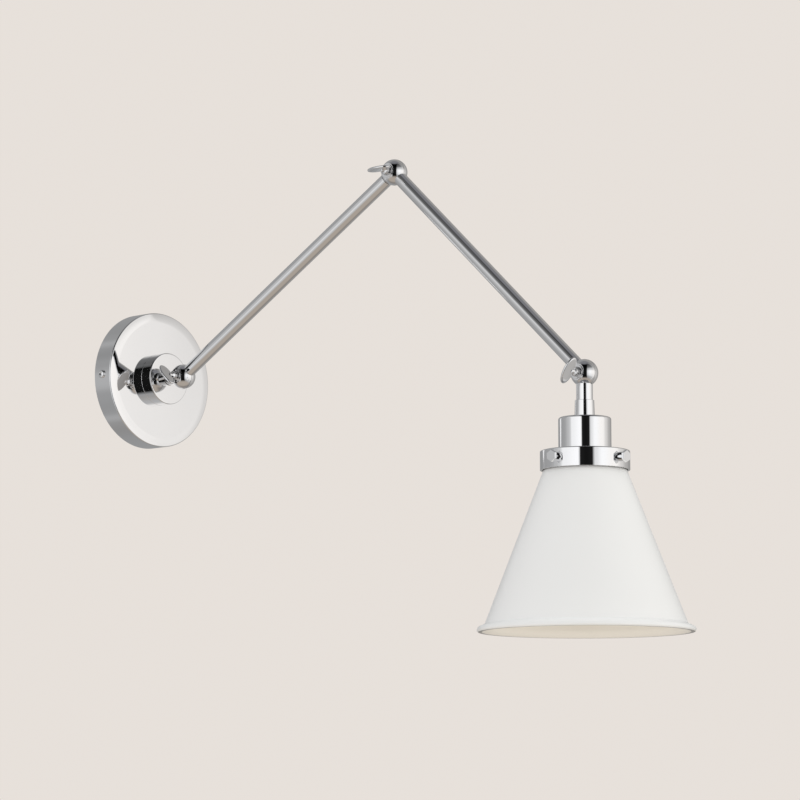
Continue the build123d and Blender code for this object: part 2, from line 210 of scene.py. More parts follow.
def soften(corners, rounds, steps=6, closed=False):
    """Section points with each corner turned into an arc.

    The arc touches both runs at rounding / tan(half the corner's angle) from the corner. A point is
    added on each run just past the arc, which keeps the shading of the flat runs flat.
    """
    corners = np.asarray(corners, float)
    count = len(corners)
    points = []
    for i, corner in enumerate(corners):
        rounding = rounds[i] if np.ndim(rounds) else rounds
        if not closed and i in (0, count - 1):
            points.append(corner)
            continue
        before, after = corners[i - 1] - corner, corners[(i + 1) % count] - corner
        back, on = unit(before), unit(after)
        if rounding <= 0:
            points.extend([corner + back * CREASE, corner, corner + on * CREASE])
            continue
        half = math.acos(np.clip(back @ on, -1, 1)) / 2
        room = 0.42 * min(np.linalg.norm(before), np.linalg.norm(after))
        run = min(rounding / math.tan(half), room)
        radius = run * math.tan(half)
        centre = corner + unit(back + on) * radius / math.sin(half)
        first, last = corner + back * run - centre, corner + on * run - centre
        swing = math.pi - 2 * half
        share = np.linspace(0, 1, steps + 1)[:, None]
        arc = (np.sin((1 - share) * swing) * first + np.sin(share * swing) * last) / math.sin(swing)
        support = min(0.5 * run, 0.1 * room)
        points.append(corner + back * (run + support))
        points.extend(centre + arc)
        points.append(corner + on * (run + support))
    return np.array(points)


def add_mesh(name, points, faces, body, nodes, finishes):
    """Put a surface into the scene, merge its doubled points, face it outwards and seat it."""
    mesh = bpy.data.meshes.new(name)
    mesh.from_pydata(points.tolist(), [], faces.tolist())
    mesh.polygons.foreach_set("material_index", finishes.astype(np.int32))
    shell = bmesh.new()
    shell.from_mesh(mesh)
    bmesh.ops.remove_doubles(shell, verts=shell.verts, dist=1e-7)
    bmesh.ops.recalc_face_normals(shell, faces=shell.faces)
    shell.to_mesh(mesh)
    shell.free()
    mesh.shade_smooth()
    piece = bpy.data.objects.new(name, mesh)
    bpy.context.scene.collection.objects.link(piece)
    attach(piece, body)
    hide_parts(*nodes)
    return piece


def carried(centre, along, ring, levels, across=None):
    """Grid of points: a flat ring outline carried along a line, scaled and shifted at each level.

    Point (i, j) = centre + along * distance_i + scale_i * (ring_j.x * across + ring_j.y * side).
    """
    along = unit(along)
    if across is None:
        across = np.cross(along, SIDE_WAY) if abs(along[0]) < 0.9 else np.array([0.0, 0.0, 1.0])
    across = unit(across)
    side = np.cross(along, across)
    spread = ring[:, :1] * across + ring[:, 1:] * side
    return (
        np.asarray(centre)[None, None]
        + levels[:, 1][:, None, None] * along
        + levels[:, 0][:, None, None] * spread[None]
    )


def grid_faces(rows, columns, first=0, closed_rows=False):
    """Quads that join each point of a grid to its neighbours; columns close into a loop."""
    row = np.arange(rows if closed_rows else rows - 1)
    column = np.arange(columns)
    a = row[:, None] * columns + column[None]
    b = row[:, None] * columns + (column[None] + 1) % columns
    c = ((row[:, None] + 1) % rows) * columns + (column[None] + 1) % columns
    d = ((row[:, None] + 1) % rows) * columns + column[None]
    return np.stack([a, b, c, d], -1).reshape(-1, 4) + first


def circle(segments):
    """Unit circle outline: (cosine, sine) of evenly spaced turns."""
    turn = np.linspace(0, 2 * math.pi, segments, endpoint=False)
    return np.stack([np.cos(turn), np.sin(turn)], -1)


def ellipse(long_half, wide_half, segments):
    """Ellipse outline: the unit circle stretched to the given half lengths."""
    return circle(segments) * [long_half, wide_half]


def hexagon(flats, rounding):
    """Hexagon outline, given across its flats: six corners at flats / root 3, each turned into an arc."""
    turn = np.radians(np.arange(6) * 60)
    corners = np.stack([np.cos(turn), np.sin(turn)], -1) * flats / math.sqrt(3)
    return soften(corners, rounding, steps=4, closed=True)


class Surface:
    """Gathers carried grids into one mesh, so that a piece or a group of like pieces is one object."""

    def __init__(self):
        self.points, self.faces, self.rows, self.count = [], [], [], 0

    def add(self, centre, along, ring, levels, across=None, closed=False, finishes=None):
        """Add one carried grid; finishes gives the material number of each row of faces."""
        grid = carried(centre, along, ring, np.asarray(levels, float), across)
        rows, columns = grid.shape[:2]
        faces = grid_faces(rows, columns, self.count, closed)
        self.points.append(grid.reshape(-1, 3))
        self.faces.append(faces)
        numbers = np.zeros(len(faces) // columns) if finishes is None else np.asarray(finishes)
        self.rows.append(np.repeat(numbers, columns))
        self.count += rows * columns
        return self

    def finish(self, name, body, slot, nodes, materials):
        """Make the object and give it its materials."""
        points, faces, rows = (np.concatenate(parts) for parts in (self.points, self.faces, self.rows))
        piece = add_mesh(name, points, faces, body, nodes, rows)
        for material in materials:
            piece.data.materials.append(material)
        return piece


# ---------------------------------------------------------------- materials


class Value:
    """A shader socket that can be used in Python sums; each operation adds a Math node."""

    def __init__(self, maker, socket):
        self.maker, self.socket = maker, socket

    def _math(self, kind, first, second=None):
        inputs = {0: first} if second is None else {0: first, 1: second}
        return self.maker.node("ShaderNodeMath", {"operation": kind}, inputs)

    def __add__(self, other):
        return self._math("ADD", self, other)

    def __radd__(self, other):
        return self._math("ADD", other, self)

    def __sub__(self, other):
        return self._math("SUBTRACT", self, other)

    def __rsub__(self, other):
        return self._math("SUBTRACT", other, self)

    def __mul__(self, other):
        return self._math("MULTIPLY", self, other)

    def __rmul__(self, other):
        return self._math("MULTIPLY", other, self)

    def __truediv__(self, other):
        return self._math("DIVIDE", self, other)

    def __rtruediv__(self, other):
        return self._math("DIVIDE", other, self)

    def power(self, exponent):
        """This value raised to a power."""
        return self._math("POWER", self, exponent)

    def smooth_between(self, low, high):
        """0 below low, 1 above high, eased between."""
        settings = {"interpolation_type": "SMOOTHSTEP"}
        inputs = {"Value": self, "From Min": low, "From Max": high}
        return self.maker.node("ShaderNodeMapRange", settings, inputs)


class Maker:
    """Adds nodes to one node tree."""

    def __init__(self, tree):
        self.tree = tree
        tree.nodes.clear()

    def node(self, kind, settings=None, inputs=None, output=0):
        """Add a node: its settings first, then the values or links of its sockets.

        Returns the numbered output, or every output when output is None.
        """
        made = self.tree.nodes.new(kind)
        for key, setting in (settings or {}).items():
            if key == "stops":
                self._stops(made.color_ramp, setting)
            else:
                setattr(made, key, setting)
        for key, value in (inputs or {}).items():
            if isinstance(value, Value):
                self.tree.links.new(value.socket, made.inputs[key])
            else:
                made.inputs[key].default_value = value
        values = [Value(self, socket) for socket in made.outputs]
        return values[output] if values and output is not None else values

    @staticmethod
    def _stops(ramp, stops):
        ramp.interpolation = "EASE"
        while len(ramp.elements) < len(stops):
            ramp.elements.new(0.5)
        for element, (place, colour) in zip(ramp.elements, stops):
            element.position = place
            element.color = (*colour, 1.0)

    def coordinates(self):
        """The object's own coordinates, in metres."""
        return self.node("ShaderNodeTexCoord", output=3)

    def noise(self, place, scale, detail=3.0, roughness=0.5):
        """Noise of the given number of features per metre, from 0 to 1."""
        inputs = {"Vector": place, "Scale": scale, "Detail": detail, "Roughness": roughness}
        return self.node("ShaderNodeTexNoise", None, inputs)

    def stretched(self, place, scale):
        """Coordinates scaled by a different amount along each axis."""
        return self.node("ShaderNodeMapping", None, {"Vector": place, "Scale": scale})

    def ramp(self, value, stops):
        """Colour that eases from stop to stop as the value goes from 0 to 1."""
        return self.node("ShaderNodeValToRGB", {"stops": stops}, {0: value})

    def mix(self, share, first, second):
        """Mix of two colours."""
        settings = {"data_type": "RGBA"}
        return self.node("ShaderNodeMix", settings, {0: share, 6: first, 7: second}, output=2)


def new_material(name, colour, metallic, roughness, bump=None, **constants):
    """A Principled material whose colour, roughness and bump come from three small functions.

    colour(maker, place) and roughness(maker, place) return values; bump is (height, distance).
    """
    material = bpy.data.materials.new(name)
    material.use_nodes = True
    maker = Maker(material.node_tree)
    place = maker.coordinates()
    inputs = {"Base Color": colour(maker, place), "Metallic": metallic, "Roughness": roughness(maker, place)}
    inputs.update({key.replace("_", " "): value for key, value in constants.items()})
    if bump:
        height, distance = bump
        lift = {"Strength": 1.0, "Distance": distance, "Height": height(maker, place)}
        inputs["Normal"] = maker.node("ShaderNodeBump", None, lift)
    shader = maker.node("ShaderNodeBsdfPrincipled", None, inputs)
    maker.node("ShaderNodeOutputMaterial", None, {"Surface": shader})
    return material


def tinted(low, high, scale):
    """Colour that drifts between two tints over the surface."""
    def colour(maker, place):
        return maker.mix(maker.noise(place, scale), (*low, 1), (*high, 1))
    return colour


def worn(base, spread, scale, stretch=None):
    """Roughness about a base value, with fine and coarse drift."""
    def roughness(maker, place):
        fine_place = maker.stretched(place, stretch) if stretch else place
        fine = maker.noise(fine_place, scale, 4.0)
        coarse = maker.noise(place, scale / 12, 2.0)
        return base + (fine - 0.5) * spread + (coarse - 0.5) * spread
    return roughness


def grain(scale, detail=2.0):
    """Fine even relief."""
    def height(maker, place):
        return maker.noise(place, scale, detail)
    return height


def chrome(name, colour, roughness):
    """Bright plate: almost a mirror, with faint smears in its gloss."""
    tint = np.array(colour)
    return new_material(name, tinted(tint * 0.985, tint, 60.0), 1.0, worn(roughness, 0.012, 900.0))


def white_paint(name, colour):
    """Sprayed satin paint with a fine orange peel."""
    tint = np.array(colour)
    return new_material(
        name, tinted(tint * 0.985, tint, 25.0), 0.0, worn(0.36, 0.05, 700.0),
        (grain(1400.0), 0.000012), Coat_Weight=0.12, Coat_Roughness=0.22,
    )


# ---------------------------------------------------------------- properties


class SconceSizes(bpy.types.PropertyGroup):
    """Sizes that the finished surfaces add to the frame's."""

    plate_edge: FloatProperty(
        name="Plate edge", description="Rounding of the wall plate's front edge",
        default=2.3 * MM, unit="LENGTH",
    )
    crown_width: FloatProperty(
        name="Crown width", description="Width of the plate's slightly domed border",
        default=7.0 * MM, unit="LENGTH",
    )
    crown_drop: FloatProperty(
        name="Crown drop", description="How far the domed border falls back at the rim",
        default=0.45 * MM, unit="LENGTH",
    )
    boss_edge: FloatProperty(
        name="Boss edge", description="Rounding of the boss's front edge", default=0.9 * MM, unit="LENGTH",
    )
    fine_edge: FloatProperty(
        name="Fine edge", description="Rounding of small turned edges", default=0.25 * MM, unit="LENGTH",
    )
    cup_edge: FloatProperty(
        name="Cup edge", description="Rounding of the cup's top edge", default=1.8 * MM, unit="LENGTH",
    )
    segments: IntProperty(
        name="Segments", description="Steps round each large turned piece", default=256, min=24,
    )


class SconceFinishes(bpy.types.PropertyGroup):
    """Colours and gloss of the finishes."""

    chrome: FloatVectorProperty(
        name="Chrome", description="Tint of the bright plate", default=(0.93, 0.93, 0.935),
        subtype="COLOR", min=0.0, max=1.0,
    )
    chrome_roughness: FloatProperty(
        name="Chrome roughness", description="Spread of the plate's reflections", default=0.035,
    )
    shade_outside: FloatVectorProperty(
        name="Shade outside", description="Paint on the outside of the shade",
        default=(0.86, 0.86, 0.85), subtype="COLOR", min=0.0, max=1.0,
    )
    # Grey under the rolled rim: painted shade, standing in for the shade that falls under the rim
    shade_rim_painted_shade: FloatVectorProperty(
        name="Shade rim painted shade", description="Grey painted shade under the rolled rim", default=(0.42, 0.41, 0.40),
        subtype="COLOR", min=0.0, max=1.0,
    )
    # Warmer, brighter white inside the shade: painted bounce light, the same paint as outside lit warm from below
    shade_inside_warm_bounce: FloatVectorProperty(
        name="Shade inside warm bounce", description="Paint inside the shade, tinted warm and bright as painted bounce light",
        default=(0.90, 0.865, 0.80), subtype="COLOR", min=0.0, max=1.0,
    )


class SconceStudio(bpy.types.PropertyGroup):
    """Camera, backdrop and light."""

    azimuth: FloatProperty(
        name="Azimuth", description="Camera's direction round the light, 0 from the front",
        default=math.radians(-47.5), subtype="ANGLE",
    )
    elevation: FloatProperty(
        name="Elevation", description="Camera's height angle", default=math.radians(-7.82), subtype="ANGLE",
    )
    distance: FloatProperty(
        name="Distance", description="From the camera to the plane of its aim", default=2.954, unit="LENGTH",
    )
    aim_right: FloatProperty(
        name="Aim right", description="Aim point, to the camera's right", default=0.2421, unit="LENGTH",
    )
    aim_up: FloatProperty(
        name="Aim up", description="Aim point, upwards in the view", default=-0.0170, unit="LENGTH",
    )
    lens: FloatProperty(name="Lens", description="Focal length in millimetres", default=140.09)
    floor_level: FloatProperty(
        name="Floor level", description="Height of the floor", default=-1.25, unit="LENGTH",
    )
    backdrop: FloatVectorProperty(
        name="Backdrop", description="Colour behind the light", default=(0.80, 0.75, 0.705),
        subtype="COLOR", min=0.0, max=1.0,
    )


# ---------------------------------------------------------------- operators


def named_finish(name):
    """A material made earlier by the finishes operator."""
    return bpy.data.materials[name]


class SCONCE_OT_finishes(bpy.types.Operator):
    """Make every material and give the CAD pieces theirs"""

    bl_idname = "sconce.finishes"
    bl_label = "Finishes"
    bl_options = {"REGISTER", "UNDO"}

    def execute(self, context):
        finish = context.scene.sconce_finishes
        plain = {
            "zinc_steel": ((0.50, 0.51, 0.50), (0.66, 0.66, 0.64), 1.0, 0.34, 1500.0),
            "brass": ((0.72, 0.53, 0.24), (0.84, 0.66, 0.34), 1.0, 0.26, 1200.0),
            "fibre": ((0.10, 0.09, 0.08), (0.17, 0.15, 0.13), 0.0, 0.8, 2500.0),
            "wire_sleeve": ((0.80, 0.79, 0.75), (0.86, 0.85, 0.81), 0.0, 0.5, 900.0),
            "green_sleeve": ((0.03, 0.22, 0.07), (0.05, 0.30, 0.10), 0.0, 0.5, 900.0),
            "green_steel": ((0.05, 0.28, 0.10), (0.09, 0.40, 0.15), 0.7, 0.32, 1500.0),
            "orange_plastic": ((0.72, 0.22, 0.03), (0.80, 0.28, 0.05), 0.0, 0.42, 1100.0),
            "white_ceramic": ((0.84, 0.83, 0.79), (0.90, 0.89, 0.86), 0.0, 0.16, 300.0),
        }
        made = {
            slot: new_material(
                f"{slot}_finish", tinted(low, high, fine / 8), metallic, worn(rough, 0.14, fine),
                (grain(fine * 2), 0.00001),
            )
            for slot, (low, high, metallic, rough, fine) in plain.items()
        }
        made["polished_chrome"] = chrome("polished_chrome_finish", finish.chrome, finish.chrome_roughness)
        made["satin_white"] = white_paint("satin_white_outside", finish.shade_outside)
        # The inside paint is warmer and brighter than the outside: painted bounce light
        white_paint("satin_white_inside", finish.shade_inside_warm_bounce)
        # The grey under the rolled rim is painted shade
        white_paint("satin_white_painted_rim_shade", finish.shade_rim_painted_shade)
        for entry in frame["record"]["subparts"]:
            slots = frame["nodes"][entry["node"]].data.materials
            slots.clear()
            slots.append(made[entry["material_slot"]])
        return {"FINISHED"}


class SCONCE_OT_wall_plate(bpy.types.Operator):
    """Build the round wall plate and the two screws in its rim"""

    bl_idname = "sconce.wall_plate"
    bl_label = "Wall plate"
    bl_options = {"REGISTER", "UNDO"}

    def execute(self, context):
        sizes = context.scene.sconce_sizes
        bright = named_finish("polished_chrome_finish")
        self.build_plate(sizes, bright)
        self.build_screws(bright)
        return {"FINISHED"}

    def build_plate(self, sizes, bright):
        """A cup turned about the wall's normal.

        Across its border the front falls back by the crown drop times the square of the way to the rim.
        """
        radius = half_width("backplate_cover")
        near, depth = reach("backplate_cover", WALL, OUT)
        hole = half_width("boss_nut") * PLATE_HOLE_SHARE
        edge = sizes.plate_edge
        share = np.linspace(1, 0, 13)
        border = np.stack([radius - edge - sizes.crown_width * (1 - share),
                           depth - sizes.crown_drop * share**2], -1)
        slope = 2 * sizes.crown_drop / sizes.crown_width
        front_corner = (radius, border[0, 1] - slope * edge)
        front = soften([(radius, near), front_corner, border[0]], edge)[1:-1]
        inner_r, inner_depth = radius - PLATE_SHEET, depth - PLATE_SHEET
        inside = soften(
            [border[-1] - (CREASE, 0), (hole, depth), (hole, inner_depth),
             (inner_r, inner_depth - sizes.crown_drop), (inner_r, near)],
            [0, 0, 0, edge * PLATE_INNER_SHARE, 0],
        )
        section = np.concatenate([[(radius, near), (radius, near + CREASE)], front, border, inside])
        plate = Surface().add(WALL, OUT, circle(sizes.segments), section, closed=True)
        plate.finish("wall_plate", "wall_side", "polished_chrome", ["backplate_cover"], [bright])

    def build_screws(self, bright):
        """Two screws with domed heads, each dome a quarter ellipse that breaks into a socket."""
        rim_r = half_width("backplate_cover")
        low, high = box_of("cover_screws")
        middle = np.array([0.0, (low[1] + high[1]) / 2, (low[2] + high[2]) / 2])
        head, rise = (high[2] - low[2]) / 2, high[0] - rim_r
        turn = np.linspace(0, math.pi / 2, 9)
        dome = np.stack([head * np.cos(turn), rim_r + rise * (0.35 + 0.65 * np.sin(turn))], -1)
        socket = [(0.42, 0.88), (0.34, 0.25), (0, 0.2)] * np.array([head, rise]) + (0, rim_r)
        crown = dome[dome[:, 0] > head * 0.46]
        shank = [(0, RIM_SCREW_TIP), (RIM_SCREW_R, RIM_SCREW_TIP), (RIM_SCREW_R, rim_r)]
        levels = [*shank, (head * 0.97, rim_r), *crown, *socket]
        screws = Surface()
        for way in (SIDE_WAY, -SIDE_WAY):
            screws.add(middle, way, circle(48), levels)
        screws.finish("rim_screws", "wall_side", "polished_chrome", ["cover_screws"], [bright])


class SCONCE_OT_swivel_boss(bpy.types.Operator):
    """Build the disc on the wall plate that the arm turns in"""

    bl_idname = "sconce.swivel_boss"
    bl_label = "Swivel boss"
    bl_options = {"REGISTER", "UNDO"}

    def execute(self, context):
        sizes = context.scene.sconce_sizes
        radius = half_width("swivel_boss")
        back, face = reach("swivel_boss", WALL, OUT)
        _, plate_face = reach("backplate_cover", WALL, OUT)
        lip = face - BUSH_LIP
        section = soften(
            [(SPIGOT_R, back), (SPIGOT_R, plate_face), (radius, plate_face), (radius, face),
             (BOSS_HOLE_R, face), (BOSS_HOLE_R, lip), (BUSH_R, lip), (BUSH_R, STOP_BORE_END),
             (STOP_BORE_R, STOP_BORE_END), (STOP_BORE_R, back)],
            [0, 0, BOSS_FOOT, sizes.boss_edge, sizes.fine_edge, 0, 0, 0, 0, 0], closed=True,
        )
        boss = Surface().add(WALL, OUT, circle(sizes.segments), section, closed=True)
        bright = named_finish("polished_chrome_finish")
        boss.finish("swivel_disc", "wall_side", "polished_chrome", ["swivel_boss"], [bright])
        return {"FINISHED"}


class SCONCE_OT_arm_tubes(bpy.types.Operator):
    """Build the two arm tubes, their ends shaped to the balls"""

    bl_idname = "sconce.arm_tubes"
    bl_label = "Arm tubes"
    bl_options = {"REGISTER", "UNDO"}

    def execute(self, context):
        radius = half_width("arm1_tube")
        bore = radius - TUBE_WALL
        end_out, end_in = (math.sqrt(TUBE_SEAT_R**2 - wide**2) for wide in (radius, bore))
        bright = named_finish("polished_chrome_finish")
        for number in (1, 2):
            start, finish = PIVOTS[number - 1], PIVOTS[number]
            length = np.linalg.norm(finish - start)
            section = soften(
                [(radius, end_out), (radius, length - end_out), (bore, length - end_in), (bore, end_in)],
                [TUBE_LIP, TUBE_LIP, 0, 0], closed=True,
            )
            tube = Surface().add(start, finish - start, circle(128), section, closed=True)
            tube.finish(f"arm{number}_bright_tube", f"arm{number}", "polished_chrome",
                        [f"arm{number}_tube"], [bright])
        return {"FINISHED"}


class SCONCE_OT_thumb_screws(bpy.types.Operator):
    """Build the three thumb screws with their oval paddles, and the washers under them"""

    bl_idname = "sconce.thumb_screws"
    bl_label = "Thumb screws"
    bl_options = {"REGISTER", "UNDO"}

    def execute(self, context):
        bright = named_finish("polished_chrome_finish")
        for number, (centre, lean, body) in enumerate(zip(PIVOTS, PADDLE_LEANS, WASHER_BODIES), 1):
            low, _ = box_of(f"thumb_screw{number}")
            seat = -box_of(f"knuckle{number}_washer")[0][0]
            hub = seat + HUB_GAP
            screw = Surface()
            self.add_paddle(screw, centre - SIDE_WAY * (-low[0] - PADDLE_WIDE), math.radians(lean))
            profile = [(wide * MM, hub + out * MM) for wide, out in HUB_MM]
            screw.add(centre, -SIDE_WAY, circle(96), soften(profile, HUB_EDGE, steps=3))
            self.add_thread(screw, centre, hub)
            screw.finish(f"thumb_screw{number}_bright", f"thumb{number}", "polished_chrome",
                         [f"thumb_screw{number}"], [bright])
            section = soften(
                [(WASHER_BORE_R, seat - WASHER_THICK), (WASHER_R, seat - WASHER_THICK),
                 (WASHER_R, seat), (WASHER_BORE_R, seat)],
                context.scene.sconce_sizes.fine_edge, closed=True,
            )
            washer = Surface().add(centre, -SIDE_WAY, circle(96), section, closed=True)
            washer.finish(f"knuckle{number}_bright_washer", body, "polished_chrome",
                          [f"knuckle{number}_washer"], [bright])
        return {"FINISHED"}

    def add_paddle(self, screw, centre, lean):
        """An ellipse carried through its own thickness: both faces dished, the rim rounded by two arcs."""
        long_way = np.array([0.0, math.sin(lean), math.cos(lean)])
        curl = PADDLE_THICK * PADDLE_CURL_SHARE
        edge = np.linspace(-math.pi / 2, math.pi / 2, 13)
        step_in = curl * (1 - np.cos(edge)) / PADDLE_WIDE
        heights = (PADDLE_THICK / 2 - curl) * np.sign(edge) + curl * np.sin(edge)
        dish = np.array([(0.0, -0.40), (0.35, -0.41), (0.66, -0.46), (0.82, -0.5)]) * (1, PADDLE_THICK)
        levels = np.concatenate([dish, np.stack([1 - step_in, heights], -1), dish[::-1] * (1, -1)])
        outline = ellipse(PADDLE_LONG, PADDLE_WIDE, 96)
        screw.add(centre, np.cross(long_way, SIDE_WAY), outline, levels, across=long_way)

    def add_thread(self, screw, centre, hub):
        """The shank, its radius a cosine wave of the thread's pitch along the axis."""
        along = np.arange(THREAD_END_MM, hub / MM, 0.2)
        wave = THREAD_R_MM - THREAD_DEPTH_MM * (0.5 + 0.5 * np.cos(along * 2 * math.pi / THREAD_PITCH_MM))
        thread = np.stack([wave, along], -1) * MM
        screw.add(centre, -SIDE_WAY, circle(48), [(0, (THREAD_END_MM - 0.2) * MM), *thread, (0, hub)])


class SCONCE_OT_fitter(bpy.types.Operator):
    """Build the stem sleeve, the cup, the ring that holds the shade and its four screws"""

    bl_idname = "sconce.fitter"
    bl_label = "Shade fitter"
    bl_options = {"REGISTER", "UNDO"}

    def execute(self, context):
        sizes = context.scene.sconce_sizes
        fine = sizes.fine_edge
        top, bottom = reach("stem_sleeve", PIVOTS[2], DOWN)
        wide = half_width("stem_sleeve")
        self.turned(
            "stem_bright_sleeve", "stem_sleeve",
            [(STEM_BORE_R, top), (wide - SLEEVE_TAPER, top), (wide, bottom), (STEM_BORE_R, bottom)],
            [0, fine, fine, 0], sizes.segments,
        )
        top, bottom = reach("socket_cup", PIVOTS[2], DOWN)
        ring_top, ring_end = reach("fitter_ring", PIVOTS[2], DOWN)
        wide = half_width("socket_cup")
        bore = COLLAR_R - CUP_WALL
        self.turned(
            "lamp_cup", "socket_cup",
            [(STEM_BORE_R, top), (wide, top), (wide, ring_top), (COLLAR_R, ring_top), (COLLAR_R, bottom),
             (bore, bottom), (bore, top + CUP_WALL), (STEM_BORE_R, top + CUP_WALL)],
            [0, sizes.cup_edge, fine, 0, 0, 0, 0, 0], sizes.segments,
        )
        ring = half_width("fitter_ring")
        bore = ring - RING_WALL
        self.turned(
            "shade_ring", "fitter_ring",
            [(COLLAR_R, ring_top), (ring, ring_top), (ring, ring_end), (bore, ring_end),
             (bore, ring_top + RING_WALL), (COLLAR_R, ring_top + RING_WALL)],
            [0, RING_EDGE, RING_LIP, RING_LIP, 0.5 * MM, 0], sizes.segments,
        )
        self.build_screws(fine, ring)
        return {"FINISHED"}

    def turned(self, name, node, corners, rounds, segments):
        """A ring turned about the upright line through the last pivot, from its softened section."""
        piece = Surface().add(
            PIVOTS[2], DOWN, circle(segments), soften(corners, rounds, closed=True), closed=True
        )
        bright = named_finish("polished_chrome_finish")
        piece.finish(name, "shade_head", "polished_chrome", [node], [bright])

    def build_screws(self, fine, ring):
        """Four hexagon heads on round shanks, a quarter turn apart."""
        low, high = box_of("fitter_screws")
        level = PIVOTS[2] + DOWN * (PIVOTS[2][2] - (low[2] + high[2]) / 2)
        face = (high[0] - low[0]) / 2
        under = face - HEX_HEAD
        sunk, overlap = ring - SHOULDER_SINK, under + HEAD_OVERLAP
        shank = soften(
            [(0, RING_SCREW_TIP), (RING_SCREW_TIP_R, RING_SCREW_TIP),
             (RING_SCREW_R, RING_SCREW_TIP + RING_SCREW_POINT), (RING_SCREW_R, sunk),
             (SHOULDER_R, sunk), (SHOULDER_R, overlap), (0, overlap)], 0,
        )
        half = HEX_FLATS / 2
        head = soften([(0, under), (half, under), (half, face), (0, face)],
                      [0, fine, HEX_FACE_EDGE, 0]) / [half, 1]
        screws = Surface()
        for way in (SIDE_WAY, -SIDE_WAY, OUT, -OUT):
            screws.add(level, way, hexagon(HEX_FLATS, HEX_CORNER), head)
            screws.add(level, way, circle(64), shank)
        bright = named_finish("polished_chrome_finish")
        screws.finish("shade_ring_screws", "shade_head", "polished_chrome", ["fitter_screws"], [bright])


class SCONCE_OT_shade(bpy.types.Operator):
    """Build the spun shade with its rolled rim, painted outside and in, its inside tinted warm as painted bounce
    light and the grey under the rim painted shade
    """

    bl_idname = "sconce.shade"
    bl_label = "Shade"
    bl_options = {"REGISTER", "UNDO"}

    def execute(self, context):
        centre = PIVOTS[2]
        top, rim = reach("shade", centre, DOWN)
        _, ring_end = reach("fitter_ring", centre, DOWN)
        rim_r = half_width("shade")
        mouth_r, cone_r = rim_r - RIM_LIP, rim_r - RIM_WIDE
        shoulder, cone_end = ring_end + CONE_GAP, rim - RIM_HIGH
        slope = (cone_r - CONE_TOP_R) / (cone_end - shoulder)
        across_wall = SHADE_WALL * math.sqrt(1 + slope**2)
        collar_in = SHADE_COLLAR_R - SHADE_WALL
        outside = soften(
            [(THROAT_R, top), (SHADE_COLLAR_R, top), (SHADE_COLLAR_R, ring_end - CONE_GAP),
             (CONE_TOP_R, shoulder), (cone_r, cone_end), (cone_r + 0.9 * MM, cone_end + 0.6 * MM),
             (rim_r - 0.7 * MM, cone_end + 2.9 * MM), (rim_r, rim - 1.1 * MM), (rim_r - 0.9 * MM, rim),
             (mouth_r, rim)],
            np.array([0, 0.5, 0.3, 1.2, 0.5, 1.0, 2.4, 0.6, 0.4, 0]) * MM, steps=8,
        )
        inside = soften(
            [(mouth_r, rim), (cone_r - across_wall, cone_end + 0.8 * MM),
             (CONE_TOP_R - across_wall, shoulder + 0.4 * MM), (collar_in, ring_end),
             (collar_in, top + SHADE_WALL), (THROAT_R, top + SHADE_WALL)],
            np.array([0, 1.2, 0.8, 0.3, 0.3, 0]) * MM, steps=8,
        )
        section = np.concatenate([outside, inside[1:]])
        sides = ("outside", "inside", "painted_rim_shade")
        # Inside rows get the warm inside paint, whose tint is painted bounce light
        finishes = np.full(len(section), sides.index("inside"))
        finishes[:len(outside) - 2] = sides.index("outside")
        # The row under the rolled rim gets a grey that is painted shade
        finishes[len(outside) - 2] = sides.index("painted_rim_shade")
        shade = Surface().add(centre, DOWN, circle(384), section, closed=True, finishes=finishes)
        shade.finish(
            "painted_shade", "shade_head", "satin_white", ["shade"],
            [named_finish(f"satin_white_{side}") for side in sides],
        )
        return {"FINISHED"}


